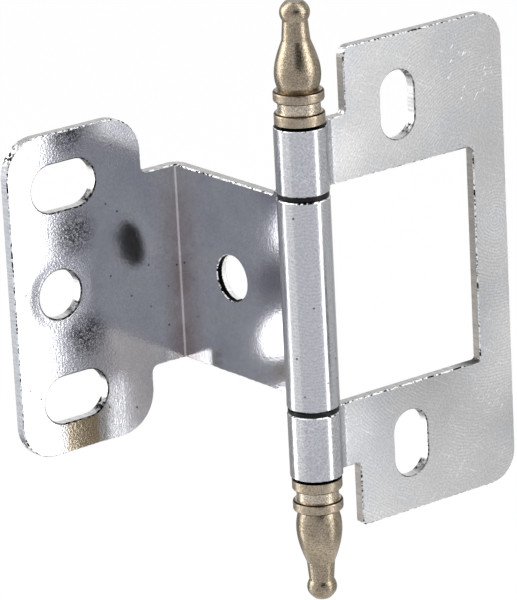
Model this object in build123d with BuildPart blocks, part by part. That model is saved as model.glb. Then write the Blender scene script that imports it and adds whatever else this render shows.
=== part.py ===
# Non-mortise butt hinge with a partial-wrap door leaf and turned finials.
# Units are millimetres. The frame leaf's mounting face lies in the XZ plane and faces -Y.
# The origin is on that face, midway between the leaf's two slots. +Z runs up along the pin.
# The door leaf is drawn opened by a right angle: its flange runs along +Y, its back plate along -X.
import os
from math import asin, atan2, degrees, sqrt

from build123d import *

os.makedirs("parts", exist_ok=True)

# Sheet and rolled barrel
sheet_thickness = 1.5
barrel_radius = 3.4
root_radius = 1.5  # hollow side of the bend from leaf to barrel
seam_gap = 0.05  # the rolled edge stops this far above the leaf's back face
edge_chamfer = 0.15  # deburred edges of the sheet

# Heights along the pin
middle_knuckle_length = 27.6
outer_knuckle_length = 8.6
washer_thickness = 0.6
washer_play = 0.1  # between each washer and the middle knuckle
ear_height = 8.65  # how far the frame leaf's ears stand past the barrel

# Door leaf: flange from the pin axis to the fold, back plate from the fold outwards
fold_distance = 25.5  # from the pin axis to the back plate, the thickness of the door and its play
fold_radius = 0.3  # hollow side of the right-angle fold
flange_shoulder = 0.7  # the flange is this much shorter than the knuckle at each end
flange_lead = 0.85  # from the end of the bend to the shoulder
shoulder_round = 0.3
flange_hole_offset = 14.65
flange_hole_diameter = 6.1
plate_width = 26.3
plate_step = 5.4  # from the flange to where the back plate widens
plate_wing = 8.15  # how far the back plate widens past the flange at each end
plate_step_radius = 1.0
plate_outer_radius = 4.8
plate_inner_radius = 5.2
plate_slot_width = 6.3
plate_slot_length = 10.0
plate_slot_inset = 8.6  # from the free edge to the middle of a slot
plate_slot_end_inset = 7.15  # from the plate's end to the middle of a slot
plate_hole_diameter = 6.4
plate_hole_inset = 7.1
plate_hole_round = 0.3  # soft punched rim of the back plate's round hole, on the door side

# Frame leaf, which leaves a window for the closed flange
window_gap = 0.3  # from the closed back plate to the window's edge
window_corner_radius = 0.5
frame_margin = 5.4  # from the window to the far edge
frame_corner_radius = 4.0
ear_lead = 2.35  # from the end of the bend to the ears
ear_top_radius = 1.4
ear_bottom_radius = 0.7
notch_radius = 0.6
frame_slot_offset = 15.2
frame_slot_end_inset = 9.15  # from the leaf's end to the middle of a slot
frame_slot_width = 5.5
frame_slot_length = 9.0

# Pin and washers
bore_play = 0.05
pin_in_finial = 5.0
pin_end_play = 0.2
pin_chamfer = 0.3
washer_inset = 0.1  # the washers lie this far inside the barrel's surface
washer_chamfer = 0.12

# Finials: walls over the bored hole, then radii, then heights out from the barrel's ends
finial_fit = 0.02
seat_wall = 0.53
groove_wall = 0.85
waist_wall = 0.63
collar_inset = 0.17  # the collars lie this far inside the barrel's surface
collar_round = 0.35
belly_radius = 2.95
shoulder_radius = 2.35
neck_base_radius = 1.82
neck_tip_radius = 1.6
knob_radius = 1.92
knob_flat_radius = 1.1
seat_height = 0.35
collar_height = 1.45
groove_height = 1.35
upper_body_height = 6.3
lower_body_height = 7.1
belly_drop = 4.3  # from the widest point to the foot of the neck
shoulder_drop = 1.4  # from the shoulder point to the foot of the neck
neck_height = 2.5
knob_belly = 1.15  # from the tip of the neck to the knob's widest point
knob_height = 2.45

tolerance = 0.001

# Radii and the bend
half_sheet = sheet_thickness / 2
bore_radius = barrel_radius - sheet_thickness
pin_radius = bore_radius - bore_play
bend_drop = half_sheet + root_radius
bend_end = sqrt((barrel_radius + root_radius) ** 2 - bend_drop**2)

# Heights
flange_height = middle_knuckle_length - 2 * flange_shoulder
window_height = middle_knuckle_length + 2 * (washer_thickness + washer_play)
barrel_length = window_height + 2 * outer_knuckle_length
leaf_height = barrel_length + 2 * ear_height
plate_height = flange_height + 2 * plate_wing
frame_slot_spacing = leaf_height - 2 * frame_slot_end_inset
plate_slot_spacing = plate_height - 2 * plate_slot_end_inset

# Distances across from the pin axis, and from the flange for the back plate
flange_start = bend_end + flange_lead
ear_edge = bend_end + ear_lead
window_edge = fold_distance + sheet_thickness + window_gap
frame_leaf_reach = window_edge + frame_margin
plate_slot_offset = plate_width - plate_slot_inset
plate_hole_offset = plate_width - plate_hole_inset

# Places
axis_x = -frame_slot_offset
axis_y = half_sheet
fold_y = axis_y + fold_distance
flange_left = axis_x - half_sheet
flange_right = axis_x + half_sheet

# Sections: local X runs along the leaf from the pin axis, local -Y is the side of the first bend
frame_section = Plane(origin=(axis_x, axis_y, 0), x_dir=(1, 0, 0), z_dir=(0, 0, 1))
door_section = Plane(origin=(axis_x, axis_y, 0), x_dir=(0, 1, 0), z_dir=(0, 0, -1))

# Outlines: local X runs along the sheet, local Y up along the pin
frame_outline = Plane(origin=(axis_x, axis_y, 0), x_dir=(1, 0, 0), z_dir=(0, -1, 0))
flange_outline = Plane(origin=(axis_x, axis_y, 0), x_dir=(0, 1, 0), z_dir=(1, 0, 0))
plate_outline = Plane(origin=(flange_left, fold_y, 0), x_dir=(-1, 0, 0), z_dir=(0, 1, 0))


def rolled_strip(leg_end):
    """Section of a strip rolled into a barrel, with its leg in line with the pin axis."""
    bend_angle = degrees(atan2(-bend_drop, bend_end))
    seam_angle = degrees(asin((half_sheet + seam_gap) / barrel_radius))
    roll = seam_angle - bend_angle - 360
    with BuildSketch() as section:
        with BuildLine():
            outer = CenterArc((0, 0), barrel_radius, bend_angle, roll)
            inner = CenterArc((0, 0), bore_radius, bend_angle, roll)
            Line(outer @ 1, inner @ 1)
            front = RadiusArc((bend_end, -half_sheet), outer @ 0, -root_radius)
            back = RadiusArc((bend_end, half_sheet), inner @ 0, -root_radius - sheet_thickness)
            Polyline(front @ 0, (leg_end, -half_sheet), (leg_end, half_sheet), back @ 0)
        make_face()
    return section.sketch


def strip(start, end, height):
    """A rectangle from one distance along the sheet to another, centred on mid height."""
    with Locations((start, 0)):
        Rectangle(end - start, height, align=(Align.MIN, Align.CENTER))


def corner(sketch, x, y):
    """The corner of a sketch that lies at a point."""
    return sketch.vertices().sort_by_distance((x, y))[0]


def at_level(shapes, axis, level):
    """The shapes whose middle lies at a level along an axis."""
    return shapes.filter_by_position(axis, level - tolerance, level + tolerance)


def flat_face(part, axis, level):
    """The largest face of the part that crosses an axis at a level."""
    return at_level(part.faces().filter_by(axis), axis, level).sort_by(SortBy.AREA)[-1]


def upright_at(part, x, y):
    """The upright edge of the part that stands nearest to a point of its plan."""
    return part.edges().filter_by(Axis.Z).sort_by_distance((x, y, 0))[0]


def rim(face, axis, *bends):
    """Edges of a flat sheet face, without the upright lines where it bends, counted along an axis."""
    uprights = face.edges().filter_by(Axis.Z).group_by(axis)
    return face.edges() - [line for place in bends for line in uprights[place]]


def hole_rims(part, level):
    """Edges of the holes through the back plate, on the face at a level along Y."""
    holes = flat_face(part, Axis.Y, level).inner_wires()
    return ShapeList(line for hole in holes for line in hole.edges())


# Frame leaf
with BuildPart() as frame_leaf:
    with BuildSketch(frame_section):
        add(rolled_strip(frame_leaf_reach))
    extrude(amount=leaf_height / 2, both=True)
    with BuildSketch(frame_outline) as outline:
        strip(-barrel_radius, ear_edge, barrel_length)
        strip(ear_edge, frame_leaf_reach, leaf_height)
        for side in (-1, 1):
            fillet(corner(outline, frame_leaf_reach, side * leaf_height / 2), frame_corner_radius)
            fillet(corner(outline, ear_edge, side * barrel_length / 2), notch_radius)
        fillet(corner(outline, ear_edge, leaf_height / 2), ear_top_radius)
        fillet(corner(outline, ear_edge, -leaf_height / 2), ear_bottom_radius)
        with Locations((frame_slot_offset, 0)):
            with GridLocations(0, frame_slot_spacing, 1, 2):
                SlotOverall(frame_slot_length, frame_slot_width, rotation=90, mode=Mode.SUBTRACT)
    extrude(amount=barrel_radius, both=True, mode=Mode.INTERSECT)
    with BuildSketch(frame_outline) as window:
        strip(-barrel_radius, window_edge, window_height)
        fillet(window.vertices().group_by(Axis.X)[-1], window_corner_radius)
    extrude(amount=barrel_radius, both=True, mode=Mode.SUBTRACT)
    for level in (0, sheet_thickness):
        chamfer(rim(flat_face(frame_leaf, Axis.Y, level), Axis.X, 0), edge_chamfer)
frame_leaf.part.label = "frame_leaf"
export_step(frame_leaf.part, "parts/frame_leaf.step")

# Door leaf
with BuildPart() as door_leaf:
    with BuildSketch(door_section):
        add(rolled_strip(fold_distance + sheet_thickness))
    extrude(amount=middle_knuckle_length / 2, both=True)
    with BuildSketch(flange_outline) as outline:
        strip(-barrel_radius, flange_start, middle_knuckle_length)
        strip(flange_start, fold_distance + sheet_thickness, flange_height)
        for side in (-1, 1):
            fillet(corner(outline, flange_start, side * middle_knuckle_length / 2), shoulder_round)
            fillet(corner(outline, flange_start, side * flange_height / 2), shoulder_round)
        with Locations((flange_hole_offset, 0)):
            Circle(flange_hole_diameter / 2, mode=Mode.SUBTRACT)
    extrude(amount=barrel_radius, both=True, mode=Mode.INTERSECT)
    with BuildSketch(plate_outline) as outline:
        strip(-sheet_thickness, plate_step, flange_height)
        strip(plate_step, plate_width, plate_height)
        for side in (-1, 1):
            fillet(corner(outline, plate_width, side * plate_height / 2), plate_outer_radius)
            fillet(corner(outline, plate_step, side * plate_height / 2), plate_inner_radius)
            fillet(corner(outline, plate_step, side * flange_height / 2), plate_step_radius)
        with Locations((plate_slot_offset, 0)):
            with GridLocations(0, plate_slot_spacing, 1, 2):
                SlotOverall(plate_slot_length, plate_slot_width, mode=Mode.SUBTRACT)
        with Locations((plate_hole_offset, 0)):
            Circle(plate_hole_diameter / 2, mode=Mode.SUBTRACT)
    extrude(amount=sheet_thickness)
    fillet(upright_at(door_leaf, flange_left, fold_y), fold_radius)
    fillet(upright_at(door_leaf, flange_right, fold_y + sheet_thickness), fold_radius + sheet_thickness)
    for level in (flange_left, flange_right):
        # This runs on round the fold and the whole outline of the back plate
        chamfer(rim(flat_face(door_leaf, Axis.X, level), Axis.Y, 0, -1), edge_chamfer)
    fillet(hole_rims(door_leaf, fold_y).filter_by(Edge.is_closed), plate_hole_round)
    chamfer(hole_rims(door_leaf, fold_y).filter_by(Edge.is_closed, reverse=True), edge_chamfer)
    chamfer(hole_rims(door_leaf, fold_y + sheet_thickness), edge_chamfer)
door_leaf.part.label = "door_leaf"
export_step(door_leaf.part, "parts/door_leaf.step")

# Hinge pin, which holds the barrel together and carries a finial on each end
pin_foot = Plane(origin=(axis_x, axis_y, -barrel_length / 2 - pin_in_finial))
with BuildPart() as hinge_pin:
    with BuildSketch(pin_foot):
        Circle(pin_radius)
    extrude(amount=barrel_length + 2 * pin_in_finial)
    chamfer(hinge_pin.edges().filter_by(GeomType.CIRCLE), pin_chamfer)
hinge_pin.part.label = "hinge_pin"
export_step(hinge_pin.part, "parts/hinge_pin.step")

# Washers between the knuckles
washer_radius = barrel_radius - washer_inset
washer_start = middle_knuckle_length / 2 + washer_play
for label, side in (("upper_washer", 1), ("lower_washer", -1)):
    washer_face = Plane(origin=(axis_x, axis_y, side * washer_start), z_dir=(0, 0, side))
    with BuildPart() as washer:
        with BuildSketch(washer_face):
            Circle(washer_radius)
            Circle(bore_radius, mode=Mode.SUBTRACT)
        extrude(amount=washer_thickness)
        rims = washer.edges().filter_by(GeomType.CIRCLE).sort_by(SortBy.RADIUS)[-2:]
        chamfer(rims, washer_chamfer)
    washer.part.label = label
    export_step(washer.part, f"parts/{label}.step")

# Finials: local X runs out from the pin axis, local Y outwards from the barrel's end
finial_bore = pin_radius + finial_fit
bore_depth = pin_in_finial + pin_end_play
seat_radius = finial_bore + seat_wall
groove_radius = finial_bore + groove_wall
waist_radius = finial_bore + waist_wall
collar_radius = barrel_radius - collar_inset
groove_start = seat_height + collar_height
groove_end = groove_start + groove_height
body_start = groove_end + collar_height
for label, side, body_height in (
    ("upper_finial", 1, upper_body_height),
    ("lower_finial", -1, lower_body_height),
):
    neck_start = body_start + body_height
    neck_end = neck_start + neck_height
    tip = neck_end + knob_height
    barrel_end = (axis_x, axis_y, side * barrel_length / 2)
    with BuildPart() as finial:
        with BuildSketch(Plane(origin=barrel_end, x_dir=(1, 0, 0), z_dir=(0, -side, 0))):
            with BuildLine():
                hole = Polyline((0, bore_depth), (finial_bore, bore_depth), (finial_bore, 0))
                rings = Polyline(
                    hole @ 1,
                    (seat_radius, 0),
                    (seat_radius, seat_height),
                    (collar_radius, seat_height),
                    (collar_radius, groove_start),
                    (groove_radius, groove_start),
                    (groove_radius, groove_end),
                    (collar_radius, groove_end),
                    (collar_radius, body_start),
                    (waist_radius, body_start),
                )
                bottle = Spline(
                    rings @ 1,
                    (belly_radius, neck_start - belly_drop),
                    (shoulder_radius, neck_start - shoulder_drop),
                    (neck_base_radius, neck_start),
                )
                neck = Line(bottle @ 1, (neck_tip_radius, neck_end))
                knob = Spline(neck @ 1, (knob_radius, neck_end + knob_belly), (knob_flat_radius, tip))
                Polyline(knob @ 1, (0, tip), hole @ 0)
            section = make_face()
            # All the collars' corners are rounded except the sharp one beside the barrel
            corners = at_level(section.vertices(), Axis.X, collar_radius).sort_by(Axis.Y)
            fillet(corners[1:], collar_round)
        revolve(axis=Axis((axis_x, axis_y, 0), (0, 0, 1)))
    finial.part.label = label
    export_step(finial.part, f"parts/{label}.step")
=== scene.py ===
import math

import bmesh
import bpy
from mathutils import Matrix, Vector


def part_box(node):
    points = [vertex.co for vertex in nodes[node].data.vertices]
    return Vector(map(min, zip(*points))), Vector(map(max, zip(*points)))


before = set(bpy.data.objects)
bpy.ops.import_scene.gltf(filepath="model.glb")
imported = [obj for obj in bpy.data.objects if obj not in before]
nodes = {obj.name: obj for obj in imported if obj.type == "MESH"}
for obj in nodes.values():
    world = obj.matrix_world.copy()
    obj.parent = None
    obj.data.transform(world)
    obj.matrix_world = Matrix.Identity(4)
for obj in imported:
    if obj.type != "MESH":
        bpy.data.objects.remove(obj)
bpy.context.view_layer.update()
print("frame loaded:", ", ".join(sorted(nodes)))

mm = 0.001

# Places that the finishes follow, in mm, read off the frame
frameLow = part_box("frame_leaf")[0] / mm
doorLow, doorHigh = [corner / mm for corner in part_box("door_leaf")]
pinLow, pinHigh = [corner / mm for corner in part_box("hinge_pin")]
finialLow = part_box("upper_finial")[0] / mm
pinX = (pinLow.x + pinHigh.x) / 2
pinY = (pinLow.y + pinHigh.y) / 2
barrelRadius = pinX - frameLow.x
barrelEnd = finialLow.z
sheet = 2 * pinY  # the frame leaf's mounting face is at y = 0
plateFace = doorHigh.y - sheet  # the side of the back plate that the door rests on
flangeFace = pinX - sheet / 2  # the side of the flange that the door's edge rests on
foldRadius = 0.3  # hollow side of the door leaf's right-angle fold

# How far a face turns from the sheet's own faces, 0 to 1, where rims and cut walls begin
rimTurn = (0.2, 0.4)
wallTurn = (0.85, 0.95)

noiseSpan = (0.3, 0.7)  # nearly all values of a noise lie in here
wideSpan = (0.25, 0.75)  # and all of them in here
ringScale = math.pi / 10  # a wave texture of this scale has a ring in each mm
spotCore = 0.2  # a soft spot is full within this share of its reach


def toLinear(code):  # "#rrggbb" in sRGB to the linear colour that Blender wants
    parts = [int(code[i:i + 2], 16) / 255 for i in (1, 3, 5)]
    return [c / 12.92 if c <= 0.04045 else ((c + 0.055) / 1.055) ** 2.4 for c in parts] + [1.0]


def addNode(tree, kind, inputs=None, **settings):  # sets and links a node, and gives its outputs
    node = tree.nodes.new("ShaderNode" + kind)
    for name, value in settings.items():
        setattr(node, name, value)
    for name, value in (inputs or {}).items():
        if isinstance(value, bpy.types.NodeSocket):
            tree.links.new(value, node.inputs[name])
        else:
            node.inputs[name].default_value = value
    return node.outputs


def span(side, ends):  # names the two ends of a range as MapRange inputs
    return {side + " Min": ends[0], side + " Max": ends[1]}


def startMaterial(name):  # an empty material, its tree, and the piece's own place in mm and facing
    material = bpy.data.materials.new(name)
    material.use_nodes = True
    tree = material.node_tree
    tree.nodes.clear()
    place = addNode(tree, "TexCoord")
    inMm = addNode(tree, "Mapping", {"Vector": place["Object"], "Scale": (1 / mm, 1 / mm, 1 / mm)})[0]
    facing = addNode(tree, "VectorMath", {0: place["Normal"]}, operation="ABSOLUTE")[0]
    return material, tree, inMm, facing


def finishMetal(tree, colour, rough, height):  # heights are in mm
    skin = addNode(tree, "Bump", {"Height": height, "Distance": mm})[0]
    metal = addNode(tree, "BsdfPrincipled", {
        "Base Color": colour, "Metallic": 1.0, "Roughness": rough, "Normal": skin,
    })[0]
    addNode(tree, "OutputMaterial", {"Surface": metal})


def giveMaterial(node, material):
    nodes[node].data.materials.clear()
    nodes[node].data.materials.append(material)


def nearTo(tree, place, centre, reach, core, fade):  # 0 past reach mm from the centre, 1 within core mm
    away = addNode(tree, "VectorMath", {0: place, 1: centre}, operation="DISTANCE")[1]
    return addNode(tree, "MapRange", {
        "Value": away, "From Min": reach, "From Max": core,
    }, interpolation_type=fade)[0]


def curledMarks(tree, inMm, centre, pitch, curl, detailScale):  # rings in XZ, bent out of round
    rings = addNode(tree, "Mapping", {"Vector": inMm, "Location": centre}, vector_type="TEXTURE")[0]
    return addNode(tree, "TexWave", {
        "Vector": rings, "Scale": ringScale / pitch, "Distortion": curl, "Detail": 2.0,
        "Detail Scale": detailScale, "Detail Roughness": 0.5,
    }, wave_type="RINGS", rings_direction="Y")[1]


def slantedNoise(tree, inMm, slant, size, detail, roughness):  # size is in mm, slant in degrees
    slanted = addNode(tree, "Mapping", {
        "Vector": inMm, "Rotation": (0.0, math.radians(slant), 0.0), "Scale": size,
    }, vector_type="TEXTURE")[0]
    return addNode(tree, "TexNoise", {
        "Vector": slanted, "Scale": 1.0, "Detail": detail, "Roughness": roughness,
    })[0]


# Cut edges of both leaves. The press tears the wall across the sheet, so the eye gets striped grey
# walls between broken black and white lines along the rims, which are painted reflections.
edgeFinish = {
    "litEndWall": "#DAD9D7",  # walls that face up or down, painted lighter as light
    "sideWall": "#908C88",  # walls that face across
    "litHoleWall": "#F2F1F0",  # walls inside the slots, painted nearly white as light
    "dark": "#0C0B0C",
    "bright": "#FFFFFF",
    "roughness": 0.42,
    "endTurn": (0.5, 0.9),  # how far up or down a wall faces to be an end wall
    "tearWidth": 0.22,  # mm, one tear in the wall
    "tearStretch": 0.08,  # a tear's width against its length
    "tearTone": (0.76, 1.12),
    "tearDepth": 0.03,  # mm
    "nickLength": 0.4,  # mm along the rim
    "paintedDarkLevels": (0.56, 0.61),  # of the rim noise, from plain to painted dark reflection
    "paintedGlintLevels": (0.50, 0.46),  # of the same noise, from plain to painted highlight
    "nickDepth": 0.1,  # mm
    "darkPatch": 2.5,  # mm, a stretch of rim with more painted dark reflection
    "patchShare": 0.6,  # what a patch adds to the nicks' noise
    "darkWallBand": 0.2,  # mm of wall beside each rim that is painted dark as well
    "cornerTurn": (0.2, 0.55),  # how far across and up a wall faces to be a rounded corner
    "cornerLevels": (0.42, 0.50),  # of the rim noise, from plain to darkened
    "holeRim": 0.6,  # how dark the rims of the slots are painted, a painted reflection
}


def addCutEdges(tree, look, inMm, facing, turned, inHole, depth, tearWay, plain):
    # turned is 0 on the sheet's faces, about 0.7 on its rims and 1 on the cut walls, and depth is
    # in mm from the sheet's middle
    colour, rough, height = plain
    facingX, _, facingZ = addNode(tree, "SeparateXYZ", {0: facing})
    wall = addNode(tree, "MapRange", {"Value": turned, **span("From", wallTurn)})[0]
    edged = addNode(tree, "MapRange", {"Value": turned, **span("From", rimTurn)})[0]
    rim = addNode(tree, "Math", {0: edged, 1: wall}, operation="SUBTRACT")[0]
    darkWallBand = addNode(tree, "MapRange", {
        "Value": depth, "From Min": sheet / 2 - look["darkWallBand"], "From Max": sheet / 2 - look["darkWallBand"] / 2,
    })[0]
    darkWallBand = addNode(tree, "Math", {0: darkWallBand, 1: wall}, operation="MULTIPLY")[0]
    paintedDarkZone = addNode(tree, "Math", {0: darkWallBand, 1: rim}, operation="MAXIMUM")[0]
    nicksAndReflections = addNode(tree, "TexNoise", {
        "Vector": inMm, "Scale": 1 / look["nickLength"], "Detail": 2.0, "Roughness": 0.6,
    })[0]
    patches = addNode(tree, "TexNoise", {
        "Vector": inMm, "Scale": 1 / look["darkPatch"], "Detail": 1.0,
    })[0]
    uneven = addNode(tree, "Math", {
        0: patches, 1: look["patchShare"], 2: -look["patchShare"] / 2,
    }, operation="MULTIPLY_ADD")[0]
    uneven = addNode(tree, "Math", {0: nicksAndReflections, 1: uneven}, operation="ADD")[0]
    # Painted dark reflections and painted highlights along the rims, drawn from the rim noise
    dark = addNode(tree, "MapRange", {"Value": uneven, **span("From", look["paintedDarkLevels"])})[0]
    dark = addNode(tree, "Math", {0: dark, 1: paintedDarkZone}, operation="MULTIPLY")[0]
    bright = addNode(tree, "MapRange", {"Value": nicksAndReflections, **span("From", look["paintedGlintLevels"])})[0]
    bright = addNode(tree, "Math", {0: bright, 1: rim}, operation="MULTIPLY")[0]

    # Walls at the sheet's rounded corners are darkened in patches, outside the holes
    cornered = addNode(tree, "Math", {0: facingX, 1: facingZ}, operation="MINIMUM")[0]
    cornered = addNode(tree, "MapRange", {"Value": cornered, **span("From", look["cornerTurn"])})[0]
    cornered = addNode(tree, "Math", {0: cornered, 1: wall}, operation="MULTIPLY")[0]
    darkSpots = addNode(tree, "MapRange", {"Value": uneven, **span("From", look["cornerLevels"])})[0]
    cornered = addNode(tree, "Math", {0: cornered, 1: darkSpots}, operation="MULTIPLY")[0]
    outside = addNode(tree, "Math", {0: 1.0, 1: inHole}, operation="SUBTRACT")[0]
    cornered = addNode(tree, "Math", {0: cornered, 1: outside}, operation="MULTIPLY")[0]
    dark = addNode(tree, "Math", {0: dark, 1: cornered}, operation="MAXIMUM")[0]
    # Painted dark reflection on the holes' rims
    holeRim = addNode(tree, "Math", {0: rim, 1: inHole}, operation="MULTIPLY")[0]
    holeRim = addNode(tree, "Math", {0: holeRim, 1: look["holeRim"]}, operation="MULTIPLY")[0]
    dark = addNode(tree, "Math", {0: dark, 1: holeRim}, operation="MAXIMUM")[0]

    tornPlace = addNode(tree, "VectorMath", {0: inMm, 1: tearWay}, operation="MULTIPLY")[0]
    tears = addNode(tree, "TexNoise", {
        "Vector": tornPlace, "Scale": 1 / look["tearWidth"], "Detail": 2.0,
    })[0]
    tearTone = addNode(tree, "MapRange", {
        "Value": tears, **span("From", noiseSpan), **span("To", look["tearTone"]),
    })[0]
    # Walls facing up or down and walls inside the holes are painted light; walls facing across keep the
    # torn steel's darker colour
    faceUp = addNode(tree, "MapRange", {"Value": facingZ, **span("From", look["endTurn"])})[0]
    torn = addNode(tree, "Mix", {
        0: faceUp, 6: toLinear(look["sideWall"]), 7: toLinear(look["litEndWall"]),
    }, data_type="RGBA")[2]
    torn = addNode(tree, "Mix", {
        0: inHole, 6: torn, 7: toLinear(look["litHoleWall"]),
    }, data_type="RGBA")[2]
    torn = addNode(tree, "VectorMath", {0: torn, "Scale": tearTone}, operation="SCALE")[0]
    colour = addNode(tree, "Mix", {0: wall, 6: colour, 7: torn}, data_type="RGBA")[2]
    for share, paint in ((bright, look["bright"]), (dark, look["dark"])):
        colour = addNode(tree, "Mix", {0: share, 6: colour, 7: toLinear(paint)}, data_type="RGBA")[2]
    rough = addNode(tree, "Mix", {0: edged, 2: rough, 3: look["roughness"]}, data_type="FLOAT")[0]
    for share, pattern, deep in ((wall, tears, look["tearDepth"]), (rim, nicksAndReflections, look["nickDepth"])):
        rise = addNode(tree, "Math", {0: pattern, 1: deep}, operation="MULTIPLY")[0]
        height = addNode(tree, "Mix", {0: share, 2: height, 3: rise}, data_type="FLOAT")[0]
    return colour, rough, height


# Zinc plate over ground steel sheet: the flats are satin grey with the wheel's faint curved
# marks, scuffs, fine scratches and a painted shadow in the window's corner, and the rolled barrel
# is brighter and smoother, with a fine grain
frameFinish = {
    "flat": "#B9B8B8",
    "bluish": "#ACB1B6",
    "barrel": "#C7C8CC",
    "flatRoughness": 0.31,
    "barrelRoughness": 0.20,
    "bendRadius": 1.5,  # mm, the hollow side of the bend into the barrel
    "bendFade": (-0.6, 1.0),  # mm past the bend's end, from the barrel's finish to the flats'
    "grindPitch": 0.42,  # mm between the wheel's marks, drawn coarser than the real 0.1 mm to show
    "grindCentre": (15.4, 0.0, 3.9),  # mm, where the marks curl round
    "grindCurl": 16.0,  # how far they bend out of round
    "grindTone": 0.17,
    "grindDepth": 0.003,  # mm
    "grainSize": 0.26,  # mm
    "grainTone": (0.76, 1.24),
    "grainDepth": 0.008,  # mm
    "cloudSize": 9.09,  # mm
    "cloudTone": (0.95, 1.04),
    "cloudLevels": (0.42, 0.58),  # of the clouds, from no marks of the wheel to full ones
    "tintSize": 14.3,  # mm across a bluish patch
    "tintLevels": (0.46, 0.60),
    "tintShare": 0.5,
    "slots": (0.0, 22.6, 5.5),  # mm across, up or down, and reach of a slotted hole
    "scuffs": [(11.0, 24.5, 6.0), (13.0, -19.5, 4.0)],  # mm across, up and reach of each scuffed spot
    "scuffFade": 1.5,  # mm
    "fleckSize": (1.7, 1.0, 0.32),  # mm
    "fleckSlant": -52,  # degrees
    "fleckLevels": (0.635, 0.67),
    "scratchSize": (0.16, 1.0, 5.0),  # mm across, through and along a fine scratch
    "scratchSlants": (38, -61),  # degrees
    "scratchLevels": (0.64, 0.72),
    "scratchTone": (1.0, 1.22),
    # mm across, up and reach of each lighter or darker spot, and its change of tone
    "toneSpots": [
        (15.5, -5.0, 20.0, 0.27), (15.5, -14.0, 10.0, 0.2), (11.0, 27.0, 11.0, -0.05),
        (-9.5, 18.0, 5.0, 0.14), (-9.5, -18.0, 5.0, 0.14), (12.0, -24.0, 13.0, 0.07),
    ],
    "windowCornerShadow": "#2B2523",
    "shadowedCorner": (12.3, -14.7, 4.6, 1.61),  # mm across, up, reach and core of the painted shadow, in the window's corner
    "shadowTurn": (0.3, 0.6),  # how far up or down a face looks to get the painted shadow
    "shadowShare": 0.92,
    "slitShade": (0.08, 0.1),  # mm in from the barrel's side and end, where shade in the finial's slit is painted dark
}


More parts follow.
